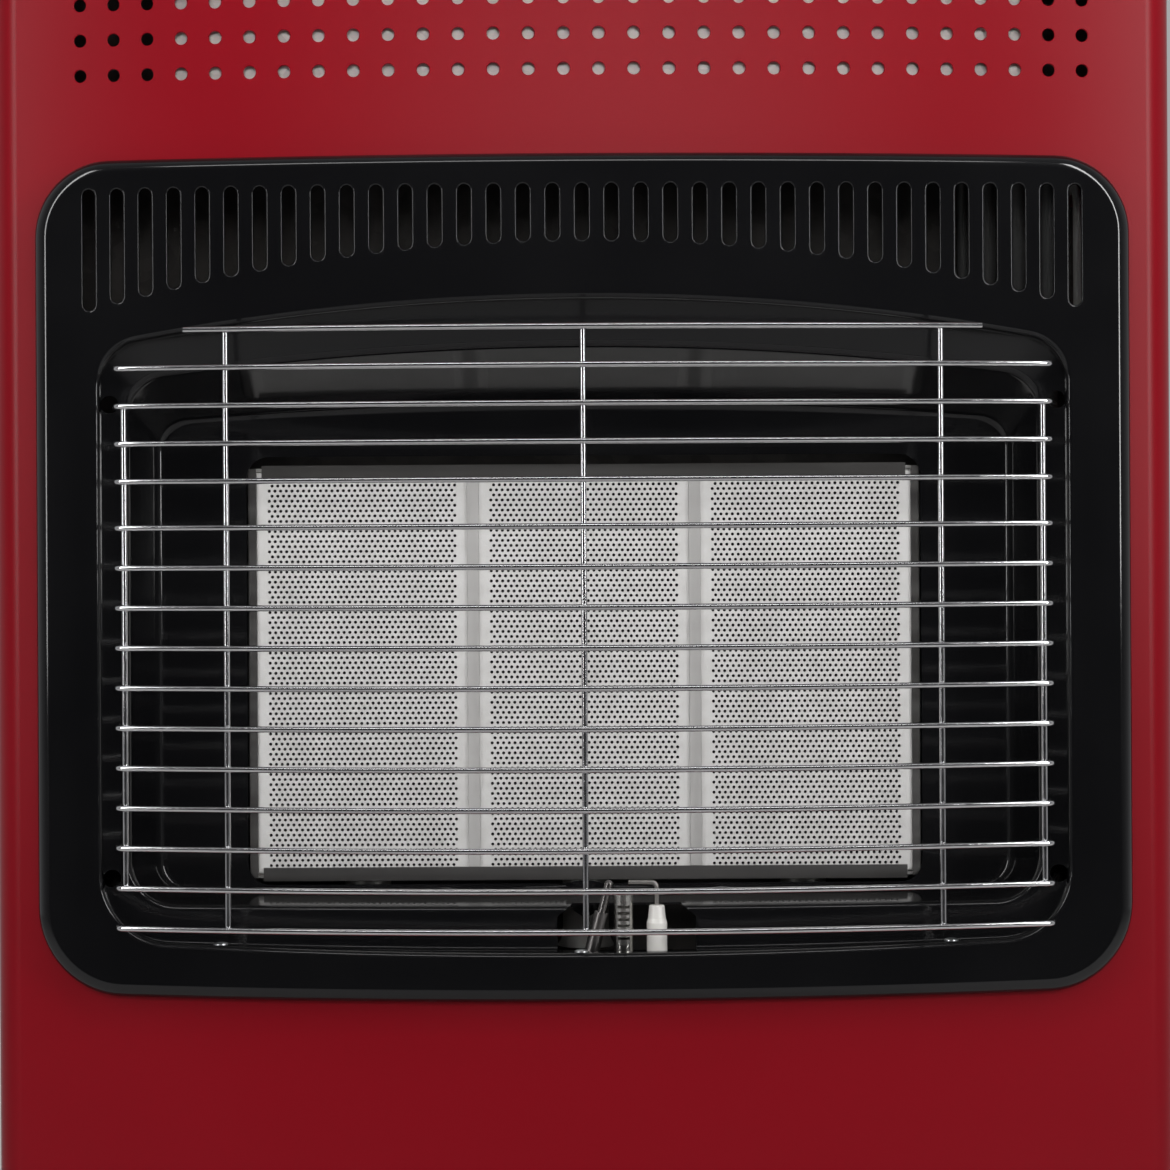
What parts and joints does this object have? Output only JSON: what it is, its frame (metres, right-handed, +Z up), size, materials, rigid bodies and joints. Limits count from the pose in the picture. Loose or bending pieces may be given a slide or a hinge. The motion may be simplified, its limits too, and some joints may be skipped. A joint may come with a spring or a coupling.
{
  "type": "portable propane heater",
  "caption": "Indoor gas heater on swivel castors: bowed sheet cabinet for a bottle, enamelled recess with perforated radiant ceramic plaques behind a wire guard, tap and igniter on top.",
  "frame": {"origin": "on the floor under the middle of the heater's bounding box", "axes": "+Z up, the heater faces -Y, +X to the right of someone facing it"},
  "size_m": [0.42, 0.43, 0.73],
  "materials": {
    "red_coat": "satin powder coat, dark red",
    "dark_coat": "satin powder coat, near black",
    "black_enamel": "high-gloss vitreous enamel",
    "galvanised": "plain galvanised sheet",
    "aluminised": "aluminised steel, dull",
    "clamp_steel": "stainless strip, fine brushed",
    "chrome_wire": "bright chromed wire",
    "plaque_ceramic": "matt unglazed, perforated",
    "gasket_fibre": "pressed ceramic fibre",
    "brass": "machined",
    "pipe_aluminium": "drawn tube",
    "thermo_copper": "drawn copper lead with steel tip",
    "tap_casting": "die cast",
    "white_porcelain": "glazed",
    "steel_pin": "drawn wire",
    "lead_silicone": "silicone sleeve",
    "black_plastic": "fine grained",
    "button_plastic": "glossy, red",
    "zinc_steel": "bright zinc plated",
    "wheel_rubber": "moulded, dark"
  },
  "bodies": {
    "cabinet": {"base_tray": "galvanised", "burner_box_centre": "aluminised", "burner_box_left": "aluminised", "burner_box_right": "aluminised", "burner_carrier": "aluminised", "castor_sockets": "zinc_steel", "ceramic_plaque_centre": "plaque_ceramic", "ceramic_plaque_left": "plaque_ceramic", "ceramic_plaque_right": "plaque_ceramic", "clamp_sides": "clamp_steel", "clamp_strip_bottom": "clamp_steel", "clamp_strip_top": "clamp_steel", "control_bracket": "galvanised", "divider_strips": "clamp_steel", "electrode_insulator": "white_porcelain", "electrode_pin": "steel_pin", "front_panel": "red_coat", "gas_pipe_centre": "pipe_aluminium", "gas_pipe_left": "pipe_aluminium", "gas_pipe_right": "pipe_aluminium", "gas_tap_body": "tap_casting", "guard": "chrome_wire", "hand_grips": "black_plastic", "hose_nozzle": "brass", "ignition_lead": "lead_silicone", "injector_bracket": "galvanised", "injectors": "brass", "panel_nuts": "zinc_steel", "partition": "galvanised", "piezo_body": "black_plastic", "pilot_bracket": "clamp_steel", "pilot_burner": "brass", "pilot_pipe": "pipe_aluminium", "plaque_gaskets": "gasket_fibre", "rear_rail": "dark_coat", "recess_liner": "black_enamel", "screws": "zinc_steel", "side_panel_left": "red_coat", "side_panel_right": "red_coat", "surround": "black_enamel", "thermocouple": "thermo_copper", "top_deck": "black_plastic", "vent_deflector": "galvanised"},
    "tap_rotor": {"tap_rotor": "brass"},
    "knob": {"control_knob": "black_plastic", "tap_spindle": "zinc_steel"},
    "igniter_button": {"piezo_button": "button_plastic"},
    "rear_cover": {"rear_cover": "dark_coat"},
    "castor_front_left": {"castor_fork_front_left": "zinc_steel", "castor_axle_front_left": "zinc_steel"},
    "wheel_front_left": {"castor_wheel_front_left": "wheel_rubber"},
    "castor_front_right": {"castor_fork_front_right": "zinc_steel", "castor_axle_front_right": "zinc_steel"},
    "wheel_front_right": {"castor_wheel_front_right": "wheel_rubber"},
    "castor_rear_left": {"castor_fork_rear_left": "zinc_steel", "castor_axle_rear_left": "zinc_steel"},
    "wheel_rear_left": {"castor_wheel_rear_left": "wheel_rubber"},
    "castor_rear_right": {"castor_fork_rear_right": "zinc_steel", "castor_axle_rear_right": "zinc_steel"},
    "wheel_rear_right": {"castor_wheel_rear_right": "wheel_rubber"}
  },
  "joints": [
    {"name": "knob_turn", "type": "hinge", "parent": "cabinet", "child": "tap_rotor", "pos_m": [0.108, -0.01, 0.7], "axis": [0, 0, 1], "range_deg": [0, 240]},
    {"name": "knob_push", "type": "slide", "parent": "tap_rotor", "child": "knob", "axis": [0, 0, -1], "range_m": [0, 0.003], "stiffness_N_per_m": 1500, "springref_m": -0.003},
    {"name": "igniter_press", "type": "slide", "parent": "cabinet", "child": "igniter_button", "axis": [0, 0, -1], "range_m": [0, 0.006], "stiffness_N_per_m": 800, "springref_m": -0.004},
    {"name": "rear_cover_off", "type": "slide", "parent": "cabinet", "child": "rear_cover", "axis": [0, 1, 0], "range_m": [0, 0.4]},
    {"name": "castor_swivel_front_left", "type": "hinge", "parent": "cabinet", "child": "castor_front_left", "pos_m": [-0.165, -0.128, 0.055], "axis": [0, 0, 1], "continuous": true},
    {"name": "wheel_spin_front_left", "type": "hinge", "parent": "castor_front_left", "child": "wheel_front_left", "pos_m": [-0.165, -0.112, 0.02], "axis": [1, 0, 0], "continuous": true},
    {"name": "castor_swivel_front_right", "type": "hinge", "parent": "cabinet", "child": "castor_front_right", "pos_m": [0.165, -0.128, 0.055], "axis": [0, 0, 1], "continuous": true},
    {"name": "wheel_spin_front_right", "type": "hinge", "parent": "castor_front_right", "child": "wheel_front_right", "pos_m": [0.165, -0.112, 0.02], "axis": [1, 0, 0], "continuous": true},
    {"name": "castor_swivel_rear_left", "type": "hinge", "parent": "cabinet", "child": "castor_rear_left", "pos_m": [-0.165, 0.15, 0.055], "axis": [0, 0, 1], "continuous": true},
    {"name": "wheel_spin_rear_left", "type": "hinge", "parent": "castor_rear_left", "child": "wheel_rear_left", "pos_m": [-0.165, 0.166, 0.02], "axis": [1, 0, 0], "continuous": true},
    {"name": "castor_swivel_rear_right", "type": "hinge", "parent": "cabinet", "child": "castor_rear_right", "pos_m": [0.165, 0.15, 0.055], "axis": [0, 0, 1], "continuous": true},
    {"name": "wheel_spin_rear_right", "type": "hinge", "parent": "castor_rear_right", "child": "wheel_rear_right", "pos_m": [0.165, 0.166, 0.02], "axis": [1, 0, 0], "continuous": true}
  ]
}
